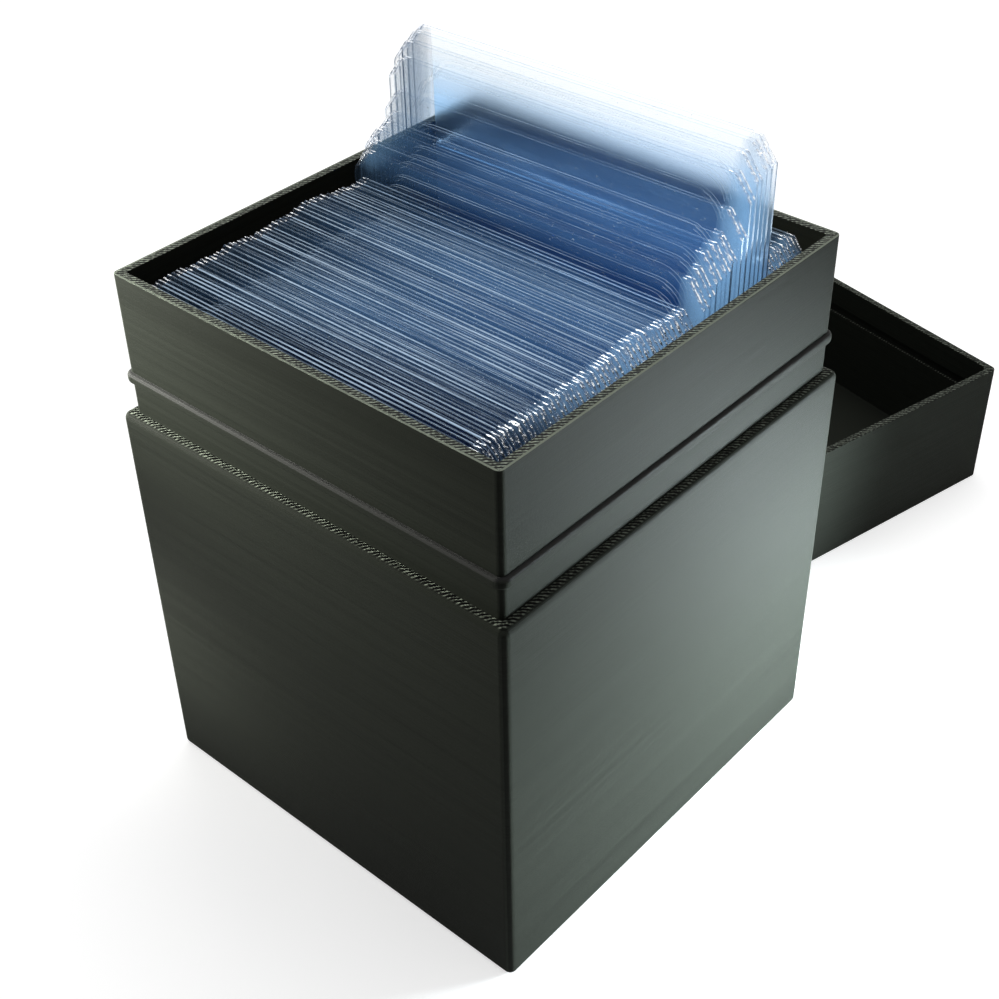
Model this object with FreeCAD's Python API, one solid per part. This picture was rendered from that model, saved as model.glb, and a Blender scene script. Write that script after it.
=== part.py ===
import FreeCAD, Part
import math
import os

# A printed box for rigid card sleeves, with its push-on lid taken off and lying beside it.
# Millimetres. The origin is the centre of the box's base, +Z is up, X runs along a sleeve's
# width and Y along the stack of sleeves.

# One rigid sleeve: two clear sheets welded together on three sides, closed end up.
SLEEVE_WIDTH = 76.2
SLEEVE_HEIGHT = 101.6
SHEET_THICKNESS = 0.35
POCKET_GAP = 0.9            # between the two sheets, where the card goes
POCKET_WIDTH = 64.8
POCKET_HEIGHT = 96.2        # from the open end to the weld across the closed end
WELD_WIDTH = 0.8
WELD_CORNER = 5.0           # inner radius of the weld at the closed end
CLIP_WIDTH = 2.8            # the closed end's corners are clipped off
CLIP_HEIGHT = 3.8

# The stack of sleeves in the box.
SLEEVE_COUNT = 45
SLEEVE_CLEARANCE = 0.15     # between two neighbours
FRONT_CLEARANCE = 1.65      # ahead of the first sleeve
BACK_CLEARANCE = 1.25       # behind the last sleeve
SIDE_CLEARANCE = 1.55       # each side of a centred sleeve
STACK_SHIFT = -1.1          # the whole stack has been pushed to the left
STACK_RAGGED_X = 0.3        # how far a sleeve strays to either side of the stack
STACK_RAGGED_Z = 0.5        # how far the loosest of the seated sleeves stands up
STACK_FAN = 0.1             # degrees that each drawn sleeve is turned past the one before it

# Sleeves that stand up out of the stack, front to back: how far each is drawn out.
PROUD_FIRST = 15
PROUD_LIFTS = (0.5, 0.3, 0.2, 0.9, 1.1, 1.2, 1.0, 0.4)
DRAWN_FIRST = 28
DRAWN_LIFTS = (5.0, 6.2, 8.0, 8.8, 9.8, 13.4, 18.9, 21.4, 22.7, 23.0)

# The box: a thick-walled body, a thinner collar that the lid slides over, and a snap bead.
FLOOR_THICKNESS = 3.6
COLLAR_WALL = 1.75
LEDGE_WIDTH = 1.85          # the lid's skirt rests here
COLLAR_HEIGHT = 26.8
RIM_ABOVE_SLEEVES = 2.0
BODY_CORNER = 1.4           # radius of the upright outer edges
COLLAR_CORNER = 1.1
CAVITY_CORNER = 0.4
BEAD_ABOVE_LEDGE = 7.1      # the bead's middle
BEAD_HEIGHT = 2.0
BEAD_OUT = 0.8              # how far it stands out of the collar
BEAD_ROUND = 0.7

# The lid.
LID_CLEARANCE = 0.2         # all round the collar
LID_HEADROOM = 0.6          # between the collar's rim and the lid's inside
LID_TOP_THICKNESS = 2.6
GROOVE_CLEARANCE = 0.1      # between the bead and its groove
LID_REST_X = -18.0          # where the lid lies, open side up
LID_REST_Y = 103.0
LID_REST_TURN = -13.0       # degrees

# Sizes that follow from those above.
SLEEVE_THICKNESS = 2 * SHEET_THICKNESS + POCKET_GAP
SLEEVE_PITCH = SLEEVE_THICKNESS + SLEEVE_CLEARANCE
STACK_DEPTH = SLEEVE_COUNT * SLEEVE_PITCH - SLEEVE_CLEARANCE
CAVITY_WIDTH = SLEEVE_WIDTH + 2 * SIDE_CLEARANCE
CAVITY_DEPTH = FRONT_CLEARANCE + STACK_DEPTH + BACK_CLEARANCE
COLLAR_WIDTH = CAVITY_WIDTH + 2 * COLLAR_WALL
COLLAR_DEPTH = CAVITY_DEPTH + 2 * COLLAR_WALL
BODY_WIDTH = COLLAR_WIDTH + 2 * LEDGE_WIDTH
BODY_DEPTH = COLLAR_DEPTH + 2 * LEDGE_WIDTH
RIM_Z = FLOOR_THICKNESS + SLEEVE_HEIGHT + RIM_ABOVE_SLEEVES
LEDGE_Z = RIM_Z - COLLAR_HEIGHT
LID_DEPTH = COLLAR_HEIGHT + LID_HEADROOM
LID_HEIGHT = LID_DEPTH + LID_TOP_THICKNESS
GOLDEN = (math.sqrt(5) - 1) / 2


def along(edge, axis):
    """Is this a straight edge along the axis, 0 for X, 1 for Y or 2 for Z?"""
    if not isinstance(edge.Curve, Part.Line):
        return False
    return abs(abs(edge.Curve.Direction[axis]) - 1) < 1e-6


def block(width, depth, low, high, corner=0.0):
    """A block centred on the Z axis, with its upright edges rounded."""
    corner_point = FreeCAD.Vector(-width / 2, -depth / 2, low)
    made = Part.makeBox(width, depth, high - low, corner_point)
    if corner > 0:
        made = made.makeFillet(corner, [e for e in made.Edges if along(e, 2)])
    return made


def bead_band(middle, grow=0.0):
    """The band that the snap bead is cut from, or its groove where it is grown all over."""
    out = BEAD_OUT + grow
    half = BEAD_HEIGHT / 2 + grow
    width = COLLAR_WIDTH + 2 * out
    depth = COLLAR_DEPTH + 2 * out
    band = block(width, depth, middle - half, middle + half, COLLAR_CORNER + out)
    rings = [e for e in band.Edges if e.BoundBox.ZLength < 1e-6]
    return band.makeFillet(BEAD_ROUND + grow, rings)


def make_box():
    """The printed box: body, collar and bead are one piece."""
    body = block(BODY_WIDTH, BODY_DEPTH, 0, LEDGE_Z, BODY_CORNER)
    collar = block(COLLAR_WIDTH, COLLAR_DEPTH, FLOOR_THICKNESS, RIM_Z, COLLAR_CORNER)
    bead = bead_band(LEDGE_Z + BEAD_ABOVE_LEDGE)
    cavity = block(CAVITY_WIDTH, CAVITY_DEPTH, FLOOR_THICKNESS, RIM_Z, CAVITY_CORNER)
    return body.fuse([collar, bead]).cut(cavity).removeSplitter()


def make_lid():
    """The lid as it lies beside the box, upside down with its open side up."""
    shell = block(BODY_WIDTH, BODY_DEPTH, 0, LID_HEIGHT, BODY_CORNER)
    inside = block(COLLAR_WIDTH + 2 * LID_CLEARANCE, COLLAR_DEPTH + 2 * LID_CLEARANCE,
                   0, LID_DEPTH, COLLAR_CORNER + LID_CLEARANCE)
    lid = shell.cut([inside, bead_band(BEAD_ABOVE_LEDGE, GROOVE_CLEARANCE)])
    middle = FreeCAD.Vector(0, 0, LID_HEIGHT / 2)
    lid.rotate(middle, FreeCAD.Vector(1, 0, 0), 180)
    lid.rotate(middle, FreeCAD.Vector(0, 0, 1), LID_REST_TURN)
    lid.translate(FreeCAD.Vector(LID_REST_X, LID_REST_Y, 0))
    return lid


def arch(width, height, corner):
    """The pocket-high arch between the sheets: square at the open end, rounded at the closed end."""
    made = Part.makeBox(width, POCKET_GAP, height, FreeCAD.Vector(-width / 2, -POCKET_GAP / 2, 0))
    top = [e for e in made.Edges if along(e, 1) and e.BoundBox.ZMax > height / 2]
    return made.makeFillet(corner, top)


def make_sheet(front):
    """One sheet of a sleeve, with its front face at y = front."""
    half = SLEEVE_WIDTH / 2
    outline = [(-half, 0), (half, 0), (half, SLEEVE_HEIGHT - CLIP_HEIGHT),
               (half - CLIP_WIDTH, SLEEVE_HEIGHT), (CLIP_WIDTH - half, SLEEVE_HEIGHT),
               (-half, SLEEVE_HEIGHT - CLIP_HEIGHT)]
    points = [FreeCAD.Vector(x, front, z) for x, z in outline]
    face = Part.Face(Part.makePolygon(points + points[:1]))
    return face.extrude(FreeCAD.Vector(0, SHEET_THICKNESS, 0))


def make_sleeve():
    """A sleeve standing on its open end at the origin."""
    weld = arch(POCKET_WIDTH + 2 * WELD_WIDTH, POCKET_HEIGHT + WELD_WIDTH, WELD_CORNER + WELD_WIDTH)
    weld = weld.cut(arch(POCKET_WIDTH, POCKET_HEIGHT, WELD_CORNER))
    front = make_sheet(-SLEEVE_THICKNESS / 2)
    back = make_sheet(POCKET_GAP / 2)
    return weld.fuse([front, back]).removeSplitter()


def stray(index, start):
    """A spread of values from 0 to 1 with no pattern to the eye."""
    return (start + index * GOLDEN) % 1.0


def lift(index):
    """How far above the cavity's floor a sleeve stands."""
    if 0 <= index - DRAWN_FIRST < len(DRAWN_LIFTS):
        return DRAWN_LIFTS[index - DRAWN_FIRST]
    if 0 <= index - PROUD_FIRST < len(PROUD_LIFTS):
        return PROUD_LIFTS[index - PROUD_FIRST]
    return round(STACK_RAGGED_Z * max(0.0, 2 * stray(3 * index, 0.2) - 1), 2)


def turn(index):
    """Degrees that a sleeve is turned: the drawn ones fan out, and those behind them follow."""
    return STACK_FAN * min(max(0, index + 1 - DRAWN_FIRST), len(DRAWN_LIFTS))


def sleeve_place(index):
    """Where a sleeve's open end stands."""
    x = STACK_SHIFT + STACK_RAGGED_X * (2 * stray(index, 0.5) - 1)
    first = FRONT_CLEARANCE - CAVITY_DEPTH / 2 + SLEEVE_THICKNESS / 2
    return FreeCAD.Vector(x, first + index * SLEEVE_PITCH, FLOOR_THICKNESS + lift(index))


os.makedirs("parts", exist_ok=True)
make_box().exportStep("parts/box_body.step")
make_lid().exportStep("parts/lid.step")
one_sleeve = make_sleeve()
for number in range(SLEEVE_COUNT):
    sleeve = one_sleeve.copy()
    sleeve.rotate(FreeCAD.Vector(), FreeCAD.Vector(0, 0, 1), turn(number))
    sleeve.translate(sleeve_place(number))
    sleeve.exportStep(f"parts/card_sleeve_{number + 1:02d}.step")
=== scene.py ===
import math

import bpy
from mathutils import Matrix, Quaternion, Vector


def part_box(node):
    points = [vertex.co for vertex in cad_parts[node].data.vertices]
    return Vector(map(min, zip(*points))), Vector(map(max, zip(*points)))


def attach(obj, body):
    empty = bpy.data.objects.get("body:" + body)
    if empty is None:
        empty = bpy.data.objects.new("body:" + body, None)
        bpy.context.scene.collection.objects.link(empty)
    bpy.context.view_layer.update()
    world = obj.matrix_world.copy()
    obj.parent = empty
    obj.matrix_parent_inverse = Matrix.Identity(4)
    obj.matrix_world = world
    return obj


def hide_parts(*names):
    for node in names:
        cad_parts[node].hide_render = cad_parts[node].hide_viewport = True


# The printed box for rigid card sleeves, dressed over its CAD frame. Lengths are in metres.
MM = 0.001
SAME = 1e-7                     # measures that differ by less than this are the same
ONE_POINT = 2e-6                # points closer together than this are merged
ON_PLANE = 1e-6                 # points closer to a cutting plane than this lie on it
OVERSHOOT = 5 * MM              # how far a cutting block passes the opening that it makes

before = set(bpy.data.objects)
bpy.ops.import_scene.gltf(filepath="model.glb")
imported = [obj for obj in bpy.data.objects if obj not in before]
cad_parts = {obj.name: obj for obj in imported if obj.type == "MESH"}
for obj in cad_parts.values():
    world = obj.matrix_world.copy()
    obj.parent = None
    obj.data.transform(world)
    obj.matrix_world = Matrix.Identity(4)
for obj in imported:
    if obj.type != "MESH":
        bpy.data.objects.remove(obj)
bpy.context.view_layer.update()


# ---------------------------------------------------------------- sizes, from the frame
def size_of(node):
    low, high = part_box(node)
    return [high[axis] - low[axis] for axis in range(3)]


BODY_WIDTH, BODY_DEPTH, RIM_Z = size_of("box_body")
LEDGE_WIDTH = 1.85 * MM
COLLAR_WALL = 1.75 * MM
COLLAR_HEIGHT = 26.8 * MM
FLOOR_THICKNESS = 3.6 * MM
LEDGE_Z = RIM_Z - COLLAR_HEIGHT
BODY_CORNER = 1.4 * MM
COLLAR_CORNER = 1.1 * MM
CAVITY_CORNER = 0.4 * MM
COLLAR_WIDTH = BODY_WIDTH - 2 * LEDGE_WIDTH
COLLAR_DEPTH = BODY_DEPTH - 2 * LEDGE_WIDTH
CAVITY_WIDTH = COLLAR_WIDTH - 2 * COLLAR_WALL
CAVITY_DEPTH = COLLAR_DEPTH - 2 * COLLAR_WALL
BEAD_ABOVE_LEDGE = 7.1 * MM
BEAD_HEIGHT = 2.0 * MM
BEAD_OUT = 0.8 * MM
BEAD_ROUND = 0.7 * MM
EDGE_BREAK = 0.14 * MM          # how far a printed edge is rounded off
BREAK_ANGLE = math.radians(50.0)        # edges sharper than this are broken
SMOOTH_ANGLE = math.radians(35.0)       # faces that meet at less than this shade as one
FLAT_ANGLE = math.radians(0.3)          # faces that meet at less than this are one face

LID_LOW, LID_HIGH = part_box("lid")
LID_MIDDLE = (LID_LOW + LID_HIGH) / 2
LID_HEIGHT = LID_HIGH.z - LID_LOW.z
LID_TOP_THICKNESS = 2.6 * MM
LID_CLEARANCE = 0.2 * MM
GROOVE_CLEARANCE = 0.1 * MM
LID_TURN = math.radians(-13.0)

SLEEVES = sorted(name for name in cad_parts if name.startswith("card_sleeve_"))
SLEEVE_WIDTH, SLEEVE_THICKNESS, SLEEVE_HEIGHT = size_of(SLEEVES[0])
SHEET_THICKNESS = 0.35 * MM
POCKET_GAP = SLEEVE_THICKNESS - 2 * SHEET_THICKNESS
POCKET_WIDTH = 64.8 * MM
POCKET_HEIGHT = 96.2 * MM
POCKET_DROP = 1 * MM            # how far the pocket's cutting block passes the open end
WELD_WIDTH = 0.8 * MM
WELD_CORNER = 5.0 * MM
WELD_BEAD = 0.16 * MM           # the bright bead where the weld meets each sheet
CLIP_WIDTH = 2.8 * MM
CLIP_HEIGHT = 3.8 * MM
CLIP_BREAK = 0.13 * MM          # the clipped corners' edges are broken
CLIP_WHITE = 0.35 * MM          # how far the cut has whitened the sheet behind it
GLINT = 1.7 * MM                # the bright end of a cut edge, next to a clipped corner
STRIP_START = POCKET_HEIGHT + 1.5 * WELD_WIDTH      # the strip between weld and closed end
FLANGE_PINCH = 0.30 * MM        # the most that a sheet's free edge leans in past the weld
FLANGE_START = 33.0 * MM        # from a sleeve's middle to where its border begins
FLANGE_STEP = 0.6 * MM          # over which the border's bluer haze sets in
STACK_MIDDLE_X = -1.1 * MM
STACK_FAN = math.radians(0.1)   # how far each drawn sleeve is turned past the one before it
FAN_FIRST = 28                  # the first drawn sleeve, counted from 0
FAN_LAST = 37
SOFT_SLEEVE = FAN_LAST          # the rearmost of the drawn sleeves
HAIR = 0.1 * MM                 # less than a sheet's thickness, to tell its two faces apart
SLIVER = 0.01 * MM              # less than any real step or face
GOLDEN = (math.sqrt(5) - 1) / 2

# A sleeve's finishes, by the number of their material slot.
CLEAR, CUT, CLIPPED, BEAD, STRIP, WHITENED, RIPPLED, WEB = range(8)

# The camera, in the same frame.
CAMERA_PLACE = Vector((157.7, -171.7, 238.4)) * MM
CAMERA_AIM = Vector((-0.64, 4.01, 53.84)) * MM
CAMERA_ROLL = math.radians(-1.22)
CAMERA_LENS = 58.88             # millimetres, as the sensor's width is
SENSOR_WIDTH = 36.0

# The studio.
FLOOR_SIZE = 6.0
FLOOR_COLOUR = 0.70
FLOOR_LIFT = 0.64               # what lifts the floor to white where it is seen
WORLD_LIGHT = 0.12
COOL_WHITE = (0.80, 0.90, 0.94)
WARM_WHITE = (1.0, 1.0, 0.92)
SEE_THROUGH = 192               # faces to look through: four for each sleeve, and some to spare


# ---------------------------------------------------------------- modelling by hand
def start_fresh():
    """Object mode, with nothing selected."""
    if bpy.context.mode != "OBJECT":
        bpy.ops.object.mode_set(mode="OBJECT")
    bpy.ops.object.select_all(action="DESELECT")


def work_on(piece):
    start_fresh()
    piece.select_set(True)
    bpy.context.view_layer.objects.active = piece


def open_whole(piece):
    """Opens the piece in edit mode with all of it selected."""
    work_on(piece)
    bpy.ops.object.mode_set(mode="EDIT")
    bpy.ops.mesh.select_all(action="SELECT")


def pick_edges(piece, wanted):
    """Opens the piece in edit mode with only the wanted edges selected."""
    work_on(piece)
    mesh = piece.data
    for part in (*mesh.vertices, *mesh.edges, *mesh.polygons):
        part.select = False
    for edge in mesh.edges:
        start, end = (mesh.vertices[i].co for i in edge.vertices)
        edge.select = wanted(start, end)
    bpy.ops.object.mode_set(mode="EDIT")
    bpy.ops.mesh.select_mode(type="EDGE")


def runs_along(axis):
    """A test for edges that run along one axis."""
    others = [a for a in range(3) if a != axis]
    return lambda start, end: all(abs(start[a] - end[a]) < SAME for a in others)


def lies_level(start, end):
    return abs(start.z - end.z) < SAME


def slopes_flat(start, end):
    """A test for the sloping edges of a clipped corner, on either face of the sheet."""
    step = end - start
    return abs(step.y) < SAME and abs(step.x) > SLIVER and abs(step.z) > SLIVER


def slab(name, low, high):
    """A plain block between two corners, ready to be shaped."""
    start_fresh()
    low, high = Vector(low), Vector(high)
    bpy.ops.mesh.primitive_cube_add(size=1, location=(low + high) / 2)
    piece = bpy.context.active_object
    piece.name = piece.data.name = name
    piece.scale = high - low
    bpy.ops.object.transform_apply(location=True, rotation=True, scale=True)
    return piece


def round_edges(piece, wanted, radius, steps):
    pick_edges(piece, wanted)
    bpy.ops.mesh.bevel(offset=radius, segments=steps, profile=0.5, affect="EDGES",
                       clamp_overlap=False)
    start_fresh()


def rounded_block(name, width, depth, low, high, corner, steps=10):
    """A block centred on the Z axis with its upright edges rounded."""
    piece = slab(name, (-width / 2, -depth / 2, low), (width / 2, depth / 2, high))
    round_edges(piece, runs_along(2), corner, steps)
    return piece


def use_modifier(piece, kind, **settings):
    work_on(piece)
    modifier = piece.modifiers.new(kind.title(), kind)
    for name, value in settings.items():
        setattr(modifier, name, value)
    bpy.ops.object.modifier_apply(modifier=modifier.name)


def combine(piece, tool, operation):
    """Adds the tool's solid to the piece or takes it away, and uses the tool up."""
    use_modifier(piece, "BOOLEAN", operation=operation, object=tool, solver="EXACT")
    bpy.data.objects.remove(tool)


def finish_shell(piece):
    """Breaks the sharp edges and smooths what is round."""
    open_whole(piece)
    bpy.ops.mesh.remove_doubles(threshold=ONE_POINT)
    bpy.ops.mesh.dissolve_limited(angle_limit=FLAT_ANGLE)
    bpy.ops.object.mode_set(mode="OBJECT")
    use_modifier(piece, "BEVEL", width=EDGE_BREAK, segments=2, limit_method="ANGLE",
                 angle_limit=BREAK_ANGLE)
    work_on(piece)
    bpy.ops.object.shade_smooth_by_angle(angle=SMOOTH_ANGLE)
    use_modifier(piece, "WEIGHTED_NORMAL", keep_sharp=True)


def bead_band(name, middle, grow=0.0):
    """The rounded band that makes the snap bead, or its groove when grown all over."""
    out = BEAD_OUT + grow
    half = BEAD_HEIGHT / 2 + grow
    band = rounded_block(name, COLLAR_WIDTH + 2 * out, COLLAR_DEPTH + 2 * out,
                         middle - half, middle + half, COLLAR_CORNER + out)
    round_edges(band, lies_level, BEAD_ROUND + grow, 5)
    return band


# ---------------------------------------------------------------- the printed pieces
def make_box():
    """Body, collar and bead as one printed shell, with the cavity cut out of it."""
    box = rounded_block("printed_box", BODY_WIDTH, BODY_DEPTH, 0, LEDGE_Z, BODY_CORNER, 12)
    collar = rounded_block("collar", COLLAR_WIDTH, COLLAR_DEPTH, FLOOR_THICKNESS, RIM_Z,
                           COLLAR_CORNER)
    cavity = rounded_block("cavity", CAVITY_WIDTH, CAVITY_DEPTH, FLOOR_THICKNESS,
                           RIM_Z + OVERSHOOT, CAVITY_CORNER, 4)
    combine(box, collar, "UNION")
    combine(box, bead_band("bead", LEDGE_Z + BEAD_ABOVE_LEDGE), "UNION")
    combine(box, cavity, "DIFFERENCE")
    finish_shell(box)
    return box


def turn_piece(piece, angle, axis, centre):
    """Turns the piece's own mesh about a point."""
    open_whole(piece)
    bpy.ops.transform.rotate(value=angle, orient_axis=axis, orient_type="GLOBAL",
                             center_override=centre)
    start_fresh()


def move_piece(piece, step):
    open_whole(piece)
    bpy.ops.transform.translate(value=step)
    start_fresh()


def make_lid():
    """The lid, modelled the way it is worn and then laid down open side up."""
    lid = rounded_block("printed_lid", BODY_WIDTH, BODY_DEPTH, 0, LID_HEIGHT, BODY_CORNER, 12)
    inside = rounded_block("inside", COLLAR_WIDTH + 2 * LID_CLEARANCE,
                           COLLAR_DEPTH + 2 * LID_CLEARANCE, -OVERSHOOT,
                           LID_HEIGHT - LID_TOP_THICKNESS, COLLAR_CORNER + LID_CLEARANCE)
    combine(lid, inside, "DIFFERENCE")
    combine(lid, bead_band("groove", BEAD_ABOVE_LEDGE, GROOVE_CLEARANCE), "DIFFERENCE")
    finish_shell(lid)
    middle = Vector((0, 0, LID_HEIGHT / 2))
    turn_piece(lid, math.pi, "X", middle)
    turn_piece(lid, -LID_TURN, "Z", middle)
    move_piece(lid, (LID_MIDDLE.x, LID_MIDDLE.y, 0))
    return lid


# ---------------------------------------------------------------- the card sleeves
def cut_flat(piece, point, normal, clear=True):
    """Cuts the piece with a plane, and closes it where a side is cleared away."""
    open_whole(piece)
    bpy.ops.mesh.bisect(plane_co=point, plane_no=Vector(normal).normalized(), use_fill=clear,
                        clear_outer=clear, threshold=ON_PLANE)
    start_fresh()


def make_sheet(name, front):
    """One clear sheet with its upper corners clipped, and cuts where its finish changes."""
    half = SLEEVE_WIDTH / 2
    sheet = slab(name, (-half, front, 0), (half, front + SHEET_THICKNESS, SLEEVE_HEIGHT))
    for side in (-1, 1):
        cut_flat(sheet, (side * half, 0, SLEEVE_HEIGHT - CLIP_HEIGHT),
                 (side * CLIP_HEIGHT, 0, CLIP_WIDTH))
    round_edges(sheet, slopes_flat, CLIP_BREAK, 1)
    for side in (-1, 1):
        cut_flat(sheet, (side * (half - CLIP_WHITE), 0, SLEEVE_HEIGHT - CLIP_HEIGHT - CLIP_WHITE),
                 (side * CLIP_HEIGHT, 0, CLIP_WIDTH), clear=False)
        cut_flat(sheet, (side * (half - CLIP_WIDTH - GLINT), 0, 0), (1, 0, 0), clear=False)
    cut_flat(sheet, (0, 0, STRIP_START), (0, 0, 1), clear=False)
    return sheet


def past_clip(point):
    """How far a point lies outside the line where the whitened strip begins."""
    across = abs(point.x) - (SLEEVE_WIDTH / 2 - CLIP_WHITE)
    above = point.z - (SLEEVE_HEIGHT - CLIP_HEIGHT - CLIP_WHITE)
    return across * CLIP_HEIGHT + above * CLIP_WIDTH


def arch(name, width, height, corner, gap):
    """The arch between the sheets, rounded at the closed end."""
    piece = slab(name, (-width / 2, -gap / 2, 0), (width / 2, gap / 2, height))
    round_edges(piece, lambda a, b: runs_along(1)(a, b) and a.z > height / 2, corner, 6)
    return piece


def face_finish(face):
    """Which of the sleeve's finishes a face shows, by its place in make_sleeve."""
    if abs(face.normal.y) > 0.9:
        if past_clip(face.center) > 0:
            return WHITENED
        return STRIP if face.center.z > STRIP_START else CLEAR
    if abs(face.center.y) < POCKET_GAP / 2 - WELD_BEAD:
        return WEB
    if abs(face.center.y) < POCKET_GAP / 2 - SLIVER:
        straight = abs(face.normal.x) > 0.95 or face.normal.z < -0.95
        return WEB if straight else BEAD
    if 0.1 < abs(face.normal.x) < 0.95:
        return CLIPPED
    on_end = face.normal.z > 0.9 and abs(face.center.x) > SLEEVE_WIDTH / 2 - CLIP_WIDTH - GLINT
    return CLIPPED if on_end else CUT


def make_sleeve():
    """One sleeve standing on its open end at the origin."""
    weld = arch("weld", POCKET_WIDTH + 2 * WELD_WIDTH, POCKET_HEIGHT + WELD_WIDTH,
                WELD_CORNER + WELD_WIDTH, POCKET_GAP)
    pocket = arch("pocket", POCKET_WIDTH, POCKET_HEIGHT, WELD_CORNER, 2 * POCKET_GAP)
    for vertex in pocket.data.vertices:
        if vertex.co.z < POCKET_HEIGHT / 2:
            vertex.co.z -= POCKET_DROP
    combine(weld, pocket, "DIFFERENCE")
    for side in (-1, 1):
        cut_flat(weld, (0, side * (POCKET_GAP / 2 - WELD_BEAD), 0), (0, 1, 0), clear=False)
    combine(weld, make_sheet("front_sheet", -SLEEVE_THICKNESS / 2), "UNION")
    combine(weld, make_sheet("back_sheet", POCKET_GAP / 2), "UNION")
    weld.name = weld.data.name = "clear_sleeve"
    for finish in (clear_sheet, cut_edge, clipped_corner, weld_line, closed_strip, white_corner,
                   soft_sheet, weld_web):
        weld.data.materials.append(finish)
    for face in weld.data.polygons:
        face.material_index = face_finish(face)
    return weld


def stray(index, start):
    """A spread of values from 0 to 1 with no pattern to the eye."""
    return (start + index * GOLDEN) % 1.0


def place_sleeve(pattern, index, node):
    """A copy of the sleeve where the frame has it, with its free edges pinched a little."""
    low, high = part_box(node)
    copy = pattern.copy()
    copy.data = pattern.data.copy()
    copy.name = copy.data.name = f"clear_sleeve_{index + 1:02d}"
    bpy.context.collection.objects.link(copy)
    foot = Vector(((low.x + high.x) / 2, (low.y + high.y) / 2, low.z))
    fanned = min(max(0, index + 1 - FAN_FIRST), FAN_LAST + 1 - FAN_FIRST)
    turn = Matrix.Rotation(fanned * STACK_FAN, 3, "Z")
    pinch = {-1: FLANGE_PINCH * stray(index, 0.1), 1: FLANGE_PINCH * stray(index, 0.6)}
    for vertex in copy.data.vertices:
        if vertex.co.z > STRIP_START + HAIR:
            side = -1 if vertex.co.y < 0 else 1
            vertex.co.y -= side * pinch[side]
        vertex.co = turn @ vertex.co + foot
    if index == SOFT_SLEEVE:
        for face in copy.data.polygons:
            if face.normal.y > 0.9 and face.center.y > foot.y + POCKET_GAP / 2 + HAIR:
                face.material_index = RIPPLED
    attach(copy, f"sleeve_{index + 1:02d}")
    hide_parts(node)
    return copy


# ---------------------------------------------------------------- materials
class Value:
    """A number inside a material, so that shader maths reads as plain sums."""

    def __init__(self, paint, socket):
        self.paint = paint
        self.socket = socket

    def math(self, operation, *others):
        made = self.paint.node("ShaderNodeMath", {"operation": operation}, {})
        for slot, value in enumerate((self, *others)):
            self.paint.feed(made.inputs[slot], value)
        return Value(self.paint, made.outputs[0])

    def __add__(self, other):
        return self.math("ADD", other)

    def __sub__(self, other):
        return self.math("SUBTRACT", other)

    def __rsub__(self, other):
        return self.paint.number(other).math("SUBTRACT", self)

    def __mul__(self, other):
        return self.math("MULTIPLY", other)

    __radd__ = __add__
    __rmul__ = __mul__

    def wave(self, period):
        """0 to 1 and back, once each period."""
        return (self * (2 * math.pi / period)).math("SINE") * 0.5 + 0.5

    def over(self, low, high):
        """0 below low, 1 above high, and a smooth step between."""
        made = self.paint.node(
            "ShaderNodeMapRange", {"interpolation_type": "SMOOTHSTEP"},
            {"Value": self, "From Min": low, "From Max": high})
        return Value(self.paint, made.outputs["Result"])


class Paint:
    """One material, built node by node."""

    def __init__(self, name, tree=None):
        if tree is None:
            self.material = bpy.data.materials.new(name)
            self.material.use_nodes = True
            tree = self.material.node_tree
        self.nodes = tree.nodes
        self.links = tree.links
        self.nodes.clear()

    def feed(self, socket, value):
        if isinstance(value, Value):
            self.links.new(value.socket, socket)
        elif isinstance(value, bpy.types.NodeSocket):
            self.links.new(value, socket)
        else:
            socket.default_value = value

    def node(self, kind, settings, inputs):
        made = self.nodes.new(kind)
        for name, value in settings.items():
            setattr(made, name, value)
        for name, value in inputs.items():
            self.feed(made.inputs[name], value)
        return made

    def number(self, value):
        made = self.node("ShaderNodeValue", {}, {})
        made.outputs[0].default_value = value
        return Value(self, made.outputs[0])

    def place(self):
        """The point on the piece: x, y and z as numbers, and the vector."""
        point = self.node("ShaderNodeTexCoord", {}, {}).outputs["Object"]
        split = self.node("ShaderNodeSeparateXYZ", {}, {"Vector": point})
        return [Value(self, split.outputs[i]) for i in range(3)] + [point]

    def facing(self):
        """The surface's own direction as three numbers."""
        normal = self.node("ShaderNodeNewGeometry", {}, {}).outputs["True Normal"]
        split = self.node("ShaderNodeSeparateXYZ", {}, {"Vector": normal})
        return [Value(self, split.outputs[i]) for i in range(3)]

    def stretched(self, point, scale):
        made = self.node("ShaderNodeMapping", {}, {"Vector": point, "Scale": scale})
        return made.outputs["Vector"]

    def noise(self, vector, scale, detail=2.0):
        made = self.node("ShaderNodeTexNoise", {},
                         {"Vector": vector, "Scale": scale, "Detail": detail})
        return Value(self, made.outputs["Fac"])

    def blend(self, share, first, second):
        made = self.node("ShaderNodeMix", {"data_type": "RGBA"},
                         {0: share, 6: first, 7: second})
        return made.outputs[2]

    def mix_shaders(self, share, first, second):
        made = self.node("ShaderNodeMixShader", {}, {0: share, 1: first, 2: second})
        return made.outputs[0]

    def bump(self, height, distance):
        made = self.node("ShaderNodeBump", {}, {"Height": height, "Distance": distance})
        return made.outputs["Normal"]

    def show(self, shader):
        self.node("ShaderNodeOutputMaterial", {}, {"Surface": shader})
        return self.material


def grey(level, tint=(1.0, 1.0, 1.0)):
    return (*(level * part for part in tint), 1.0)


# How fast each drawn-out pattern changes along x, y and z, in turns a metre.
LAYER_STREAKS = (7, 7, 900)
FINE_STREAKS = (30, 30, 3600)
SCUFF_MARKS = (60, 800, 500)
EDGE_STREAKS = (22, 1500, 22)
EDGE_CHATTER = (500, 1200, 500)
CRAZING = (900, 2600, 1500)
WELD_FLOW = (90, 900, 90)

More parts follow.
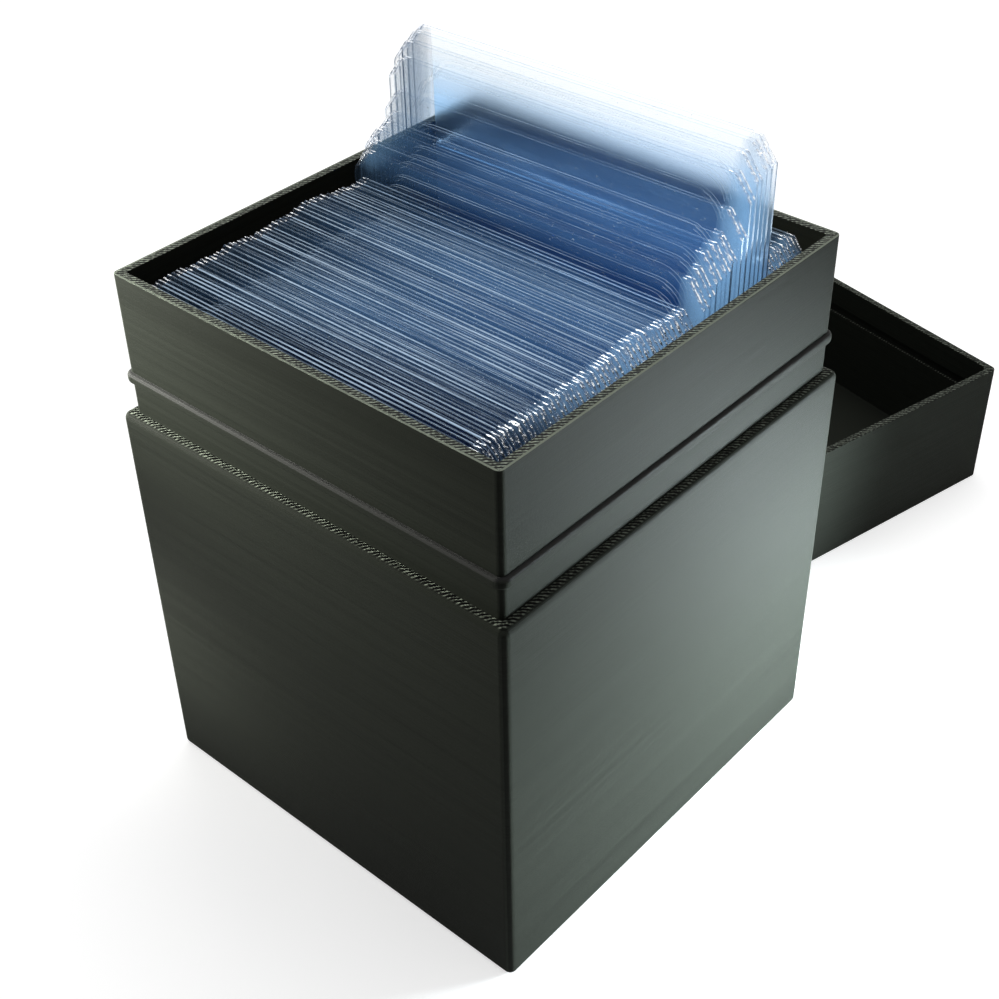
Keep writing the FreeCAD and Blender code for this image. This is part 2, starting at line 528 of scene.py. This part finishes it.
LAYER_PITCH = 0.2 * MM
LAYER_WOBBLE = 0.03 * MM
INFILL_PITCH = 0.64 * MM
INFILL_WOBBLE = 0.4 * MM
PERIMETER = 0.36 * MM           # the smooth perimeter round each flat top, painted lighter there as a painted highlight
FLOORS_BELOW = 18 * MM          # level faces lower than this are floors, and have no strokes
TOPS_ABOVE = 20 * MM            # level faces higher than this are tops, and have them
LID_BELOW = 50 * MM             # all of the lid is lower than this
BOX_TOPS_ABOVE = 60 * MM        # the box's ledge and rim are higher than this
RIM_BAND = 1 * MM               # under the rim, where the ledge's finish gives way to the rim's
BEAD_FADE = 0.3 * MM
PRINT_RELIEF = 0.045 * MM
CRAZE_RELIEF = 0.3 * MM
DRAWN_FROM = RIM_Z - 0.5 * MM   # cut edges lower than this are in the box
DRAWN_BY = RIM_Z + 2.5 * MM     # and those higher than this are drawn out of it
PRINT_TINT = (0.93, 1.04, 0.85)
PVC_IOR = 1.53
BORDER_BLUE = (0.30, 0.58, 1.0, 1.0)
DUST_PALE = (0.8, 0.9, 1.0, 1.0)
EDGE_PALE = (0.40, 0.53, 0.68, 1.0)
# The darker slate below is painted shade, for the cut edges that face the strong right lamp.
EDGE_SHADED_SLATE = (0.16, 0.25, 0.37, 1.0)
GLINT_DULL = (0.30, 0.40, 0.55, 1.0)
GLINT_WHITE = (0.98, 0.99, 1.0, 1.0)
WELD_BLUE = (0.62, 0.80, 1.0, 1.0)
RIPPLE_BLUE = (0.35, 0.65, 1.0, 1.0)
RIPPLE_PALE = (0.97, 0.995, 1.0, 1.0)
RIPPLE_BLUE_TO = 113 * MM       # the rippled sheet is blue up to this height
RIPPLE_PALE_FROM = 125 * MM     # and pale from this height

# What light keeps of its colour on its way through a clear face.
EDGE_TINT = (0.9, 0.95, 1.0)
CLIP_TINT = (0.95, 0.97, 1.0)
WELD_TINT = (0.97, 0.985, 1.0)
RIPPLE_TINT = (0.96, 0.985, 1.0)


def from_outline(x, y, width, depth):
    """How far inside a centred rectangle a point lies."""
    to_side = width / 2 - x.math("ABSOLUTE")
    to_front = depth / 2 - y.math("ABSOLUTE")
    return to_side.math("MINIMUM", to_front)


def within(value, low, high, soft):
    """1 between low and high, and 0 outside."""
    return value.over(low - soft, low) * (1 - value.over(high, high + soft))


def paint_print():
    """Black printed plastic: level layer lines on walls, slanting infill strokes on top, painted
    highlights.
    """
    paint = Paint("black_printed_plastic")
    x, y, z, point = paint.place()
    side, front, up = paint.facing()
    corner = (side * front).math("ABSOLUTE")
    bead = LEDGE_Z + BEAD_ABOVE_LEDGE
    on_bead = within(z, bead - BEAD_HEIGHT, bead + BEAD_HEIGHT, BEAD_FADE)
    level = up.over(0.8, 0.95) * z.over(FLOORS_BELOW, TOPS_ABOVE) * (1 - on_bead)
    on_rim = z.over(RIM_Z - RIM_BAND, RIM_Z - RIM_BAND / 2)

    streaks = paint.noise(paint.stretched(point, LAYER_STREAKS), 1.0, 3.0)
    fine = paint.noise(paint.stretched(point, FINE_STREAKS), 1.0)
    grain = paint.noise(point, 2600.0)
    layers = (z + fine * LAYER_WOBBLE).wave(LAYER_PITCH)

    across = (x - y) * math.sqrt(0.5)
    ripple = paint.noise(point, 1100.0)
    strokes = (across + (ripple - 0.5) * INFILL_WOBBLE).wave(INFILL_PITCH)
    broken = paint.noise(point, 2100.0).over(0.38, 0.62)
    # Painted highlight: the infill strokes are painted lighter than the black plastic, for the
    # light that their rounded tops catch.
    stroke_painted_highlight = strokes.over(0.3, 0.95) * (broken * 0.8 + 0.2)

    ledge_line = from_outline(x, y, BODY_WIDTH, BODY_DEPTH).over(PERIMETER, 1.3 * PERIMETER)
    rim_line = from_outline(x, y, COLLAR_WIDTH, COLLAR_DEPTH).over(PERIMETER, 1.3 * PERIMETER)
    on_box = z.over(LID_BELOW, BOX_TOPS_ABOVE)
    smooth_outline_and_highlight = (1 - ledge_line * (1 - on_rim) - rim_line * on_rim) * on_box

    wall_height = layers * 0.5 + streaks * 0.7 + fine * 0.6 + grain * 0.25
    top_height = strokes * 2.2 * (1 - smooth_outline_and_highlight) + grain * 0.8
    height = wall_height * (1 - level) + top_height * level

    wall_colour = paint.blend(streaks * 0.4 + fine * 0.25 + layers * 0.35,
                              grey(0.006, PRINT_TINT), grey(0.027, PRINT_TINT))
    # The ledge's and the rim's strokes are painted light grey, the rim's lighter: painted
    # highlight.
    ledge_colour = paint.blend(stroke_painted_highlight, grey(0.005), grey(0.22, PRINT_TINT))
    rim_colour = paint.blend(stroke_painted_highlight, grey(0.02), grey(0.36, PRINT_TINT))
    top_colour = paint.blend(on_rim, ledge_colour, rim_colour)
    # Painted highlight: the smooth perimeter of each top is painted light grey.
    top_colour = paint.blend(smooth_outline_and_highlight, top_colour, grey(0.22, PRINT_TINT))
    # Painted highlight along the upward-facing top of the bead.
    bead_highlight = on_bead * up.over(0.15, 0.6) * (0.6 + streaks * 0.4)
    # Painted highlight: thin lighter lines on both sides of the rounded upright corners.
    corner_highlight = within(corner, 0.22, 0.40, 0.05) * (0.3 + fine * 0.7)
    wall_colour = paint.blend(bead_highlight, wall_colour, grey(0.045))
    wall_colour = paint.blend(corner_highlight, wall_colour, grey(0.035, PRINT_TINT))
    colour = paint.blend(level, wall_colour, top_colour)
    roughness = 0.44 + (streaks - 0.5) * 0.12 + (grain - 0.5) * 0.08

    plastic = paint.node("ShaderNodeBsdfPrincipled", {}, {
        "Base Color": colour, "Roughness": roughness, "IOR": 1.5, "Specular IOR Level": 0.01,
        "Normal": paint.bump(height, PRINT_RELIEF)})
    return paint.show(plastic.outputs["BSDF"])


def see_through(paint, tint):
    """Lets the light through with a tint, and unbent."""
    clear = paint.node("ShaderNodeBsdfTransparent", {}, {"Color": (*tint, 1.0)})
    return clear.outputs["BSDF"]


def half_clear(paint, share, tint, body):
    """Tinted and clear, except for the share of the light that meets the body."""
    return paint.show(paint.mix_shaders(share, see_through(paint, tint), body))


def plastic_body(paint, colour, roughness, mirror=0.0, gloss=0.5):
    made = paint.node("ShaderNodeBsdfPrincipled", {}, {
        "Base Color": colour, "Roughness": roughness, "IOR": PVC_IOR, "Metallic": mirror,
        "Specular IOR Level": gloss})
    return made.outputs["BSDF"]


def flange_share(x):
    """1 on the sheets' borders outside the weld, and 0 over the pocket."""
    return (x - STACK_MIDDLE_X).math("ABSOLUTE").over(FLANGE_START, FLANGE_START + FLANGE_STEP)


def paint_sheet(name, share, haze, tint):
    """Clear rigid PVC: a faint blue tint, with a little haze, dust and scuffs."""
    paint = Paint(name)
    x, _, _, point = paint.place()
    dust = paint.noise(point, 2600.0, 1.0).over(0.76, 0.80)
    scuffs = paint.noise(paint.stretched(point, SCUFF_MARKS), 1.0, 3.0).over(0.62, 0.85)
    border = flange_share(x)
    whole = share + scuffs * 0.02 + dust * 0.45 + border * 0.075
    colour = paint.blend(border, (*haze, 1.0), BORDER_BLUE)
    colour = paint.blend(dust, colour, DUST_PALE)
    return half_clear(paint, whole, tint, plastic_body(paint, colour, 0.25, gloss=0.08))


def paint_edge():
    """The sheets' cut edges: pale, but those facing +X painted a darker slate, as painted shade
    against the strong right lamp.
    """
    paint = Paint("cut_pvc_edge")
    _, _, z, point = paint.place()
    side = paint.facing()[0]
    drawn = z.over(DRAWN_FROM, DRAWN_BY)
    right = side.over(0.5, 0.9)
    left = (0 - side).over(0.5, 0.9)
    streaks = paint.noise(paint.stretched(point, EDGE_STREAKS), 1.0).over(0.44, 0.66)
    chatter = paint.noise(paint.stretched(point, EDGE_CHATTER), 1.0).over(0.5, 0.8)
    share = 0.14 + streaks * 0.64 + chatter * 0.16 + right * 0.12
    share = share * (1 - left * 0.96) * (1 - drawn * (1 - right) * 0.55)
    # Painted shade: the edges that face +X, toward the right lamp, take the darker slate.
    colour = paint.blend(right, EDGE_PALE, EDGE_SHADED_SLATE)
    mirror = streaks * 0.6 * (1 - right)
    return half_clear(paint, share, EDGE_TINT, plastic_body(paint, colour, 0.3, mirror))


def paint_clip(name, least, most):
    """The clipped corners, which catch the light, and the whitened strip behind them."""
    paint = Paint(name)
    point = paint.place()[3]
    crazing = paint.noise(paint.stretched(point, CRAZING), 1.0)
    sparkle = crazing.over(0.40, 0.58)
    colour = paint.blend(sparkle, GLINT_DULL, GLINT_WHITE)
    body = paint.node("ShaderNodeBsdfPrincipled", {}, {
        "Base Color": colour, "Roughness": 0.2, "IOR": PVC_IOR, "Metallic": sparkle,
        "Normal": paint.bump(crazing, CRAZE_RELIEF)})
    share = least + sparkle * (most - least)
    return half_clear(paint, share, CLIP_TINT, body.outputs["BSDF"])


def paint_weld(name, least, most):
    """The welded seam between the sheets, which is a fine pale line round the pocket."""
    paint = Paint(name)
    point = paint.place()[3]
    flow = paint.noise(paint.stretched(point, WELD_FLOW), 1.0).over(0.3, 0.7)
    share = least + flow * (most - least)
    return half_clear(paint, share, WELD_TINT, plastic_body(paint, WELD_BLUE, 0.3, gloss=0.2))


def paint_soft_sheet():
    """The rearmost raised sheet, slightly rippled, which softens what lies behind it."""
    paint = Paint("rippled_blue_pvc")
    _, _, z, point = paint.place()
    colour = paint.blend(z.over(RIPPLE_BLUE_TO, RIPPLE_PALE_FROM), RIPPLE_BLUE, RIPPLE_PALE)
    rippled = paint.node("ShaderNodeBsdfPrincipled", {}, {
        "Base Color": colour, "Roughness": 0.65, "IOR": 1.12, "Transmission Weight": 1.0})
    clear = see_through(paint, RIPPLE_TINT)
    wander = paint.noise(point, 60.0)
    return paint.show(paint.mix_shaders(0.02 + wander * 0.08, rippled.outputs["BSDF"], clear))


def dress(piece, material):
    piece.data.materials.clear()
    piece.data.materials.append(material)


# ---------------------------------------------------------------- the studio
def seen_share(paint):
    """1 where the eye, a reflection or a clear sheet meets the surface, 0 for plain light."""
    path = paint.node("ShaderNodeLightPath", {}, {})
    camera, glossy, through = (Value(paint, path.outputs[f"Is {kind} Ray"])
                               for kind in ("Camera", "Glossy", "Transmission"))
    return camera.math("MAXIMUM", glossy).math("MAXIMUM", through)


def make_floor():
    """A plain pale floor, lifted to white where it is seen, which keeps its shadows."""
    start_fresh()
    bpy.ops.mesh.primitive_plane_add(size=FLOOR_SIZE)
    floor = bpy.context.active_object
    floor.name = "studio_floor"
    paint = Paint("pale_floor")
    cloud = paint.noise(paint.place()[3], 3.0)
    colour = paint.blend(cloud, grey(FLOOR_COLOUR - 0.02), grey(FLOOR_COLOUR + 0.02))
    lift = paint.blend(seen_share(paint), grey(0.0), grey(FLOOR_LIFT))
    surface = paint.node("ShaderNodeBsdfPrincipled", {}, {
        "Base Color": colour, "Roughness": 0.8, "Specular IOR Level": 0.1,
        "Emission Color": lift, "Emission Strength": 1.0})
    floor.data.materials.append(paint.show(surface.outputs["BSDF"]))


def make_world():
    """Even soft light, and white wherever the eye or a reflection meets it."""
    world = bpy.data.worlds.new("studio_world")
    bpy.context.scene.world = world
    world.use_nodes = True
    paint = Paint("studio_world", world.node_tree)
    soft = paint.node("ShaderNodeBackground", {}, {"Strength": WORLD_LIGHT})
    white = paint.node("ShaderNodeBackground", {}, {"Strength": 1.0})
    for background in (soft, white):
        background.inputs["Color"].default_value = grey(1.0)
    light = paint.mix_shaders(seen_share(paint), soft.outputs[0], white.outputs[0])
    paint.node("ShaderNodeOutputWorld", {}, {"Surface": light})


def soft_light(name, place, aim, width, power, spread=180.0, colour=(1.0, 1.0, 1.0)):
    light = bpy.data.lights.new(name, "AREA")
    light.shape = "SQUARE"
    light.size = width
    light.energy = power
    light.spread = math.radians(spread)
    light.color = colour
    lamp = bpy.data.objects.new(name, light)
    lamp.location = place
    direction = Vector(aim) - Vector(place)
    lamp.rotation_mode = "QUATERNION"
    lamp.rotation_quaternion = direction.to_track_quat("-Z", "Y")
    lamp.visible_camera = False
    bpy.context.scene.collection.objects.link(lamp)


def make_camera():
    camera = bpy.data.objects.new("camera", bpy.data.cameras.new("camera"))
    camera.data.sensor_width = SENSOR_WIDTH
    camera.data.lens = CAMERA_LENS
    camera.data.clip_start = 0.01
    camera.location = CAMERA_PLACE
    camera.rotation_mode = "QUATERNION"
    level = (CAMERA_AIM - CAMERA_PLACE).to_track_quat("-Z", "Y")
    camera.rotation_quaternion = level @ Quaternion((0, 0, 1), CAMERA_ROLL)
    bpy.context.scene.collection.objects.link(camera)
    bpy.context.scene.camera = camera


# ---------------------------------------------------------------- putting it together
make_camera()
make_world()
make_floor()
soft_light("right_light", place=(0.125, 0.105, 0.01), aim=(0.043, 0.002, 0.022),
           width=0.06, power=0.72, spread=77.0, colour=COOL_WHITE)
soft_light("left_light", place=(-0.115, -0.088, 0.11), aim=(-0.032, -0.045, 0.094),
           width=0.03, power=0.075, spread=50.0, colour=WARM_WHITE)
soft_light("low_left_light", place=(-0.12, -0.10, 0.03), aim=(-0.047, -0.045, 0.03),
           width=0.03, power=0.022, spread=35.0, colour=WARM_WHITE)
soft_light("top_light", place=(-0.1, 0.2, 0.9), aim=(0, 0, 0.05), width=0.8, power=6.0)

black_print = paint_print()
clear_sheet = paint_sheet("clear_blue_pvc", share=0.012, haze=(0.01, 0.13, 0.60),
                          tint=(0.980, 0.990, 0.998))
closed_strip = paint_sheet("closed_end_pvc", share=0.018, haze=(0.20, 0.46, 0.95),
                           tint=(0.993, 0.997, 1.0))
cut_edge = paint_edge()
clipped_corner = paint_clip("clipped_pvc_corner", least=0.15, most=0.95)
white_corner = paint_clip("whitened_pvc_corner", least=0.02, most=0.45)
weld_line = paint_weld("pvc_weld_bead", least=0.10, most=0.45)
weld_web = paint_weld("pvc_weld_web", least=0.004, most=0.02)
soft_sheet = paint_soft_sheet()

printed_box = make_box()
dress(printed_box, black_print)
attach(printed_box, "box")
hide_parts("box_body")

printed_lid = make_lid()
dress(printed_lid, black_print)
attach(printed_lid, "lid")
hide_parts("lid")

sleeve_pattern = make_sleeve()
for index, node in enumerate(SLEEVES):
    sleeve = place_sleeve(sleeve_pattern, index, node)
    sleeve.visible_shadow = False       # clear plastic, so light passes it to what is behind
    sleeve.visible_diffuse = False
bpy.data.objects.remove(sleeve_pattern)

scene = bpy.context.scene
scene.view_settings.view_transform = "Standard"
scene.cycles.transparent_max_bounces = SEE_THROUGH
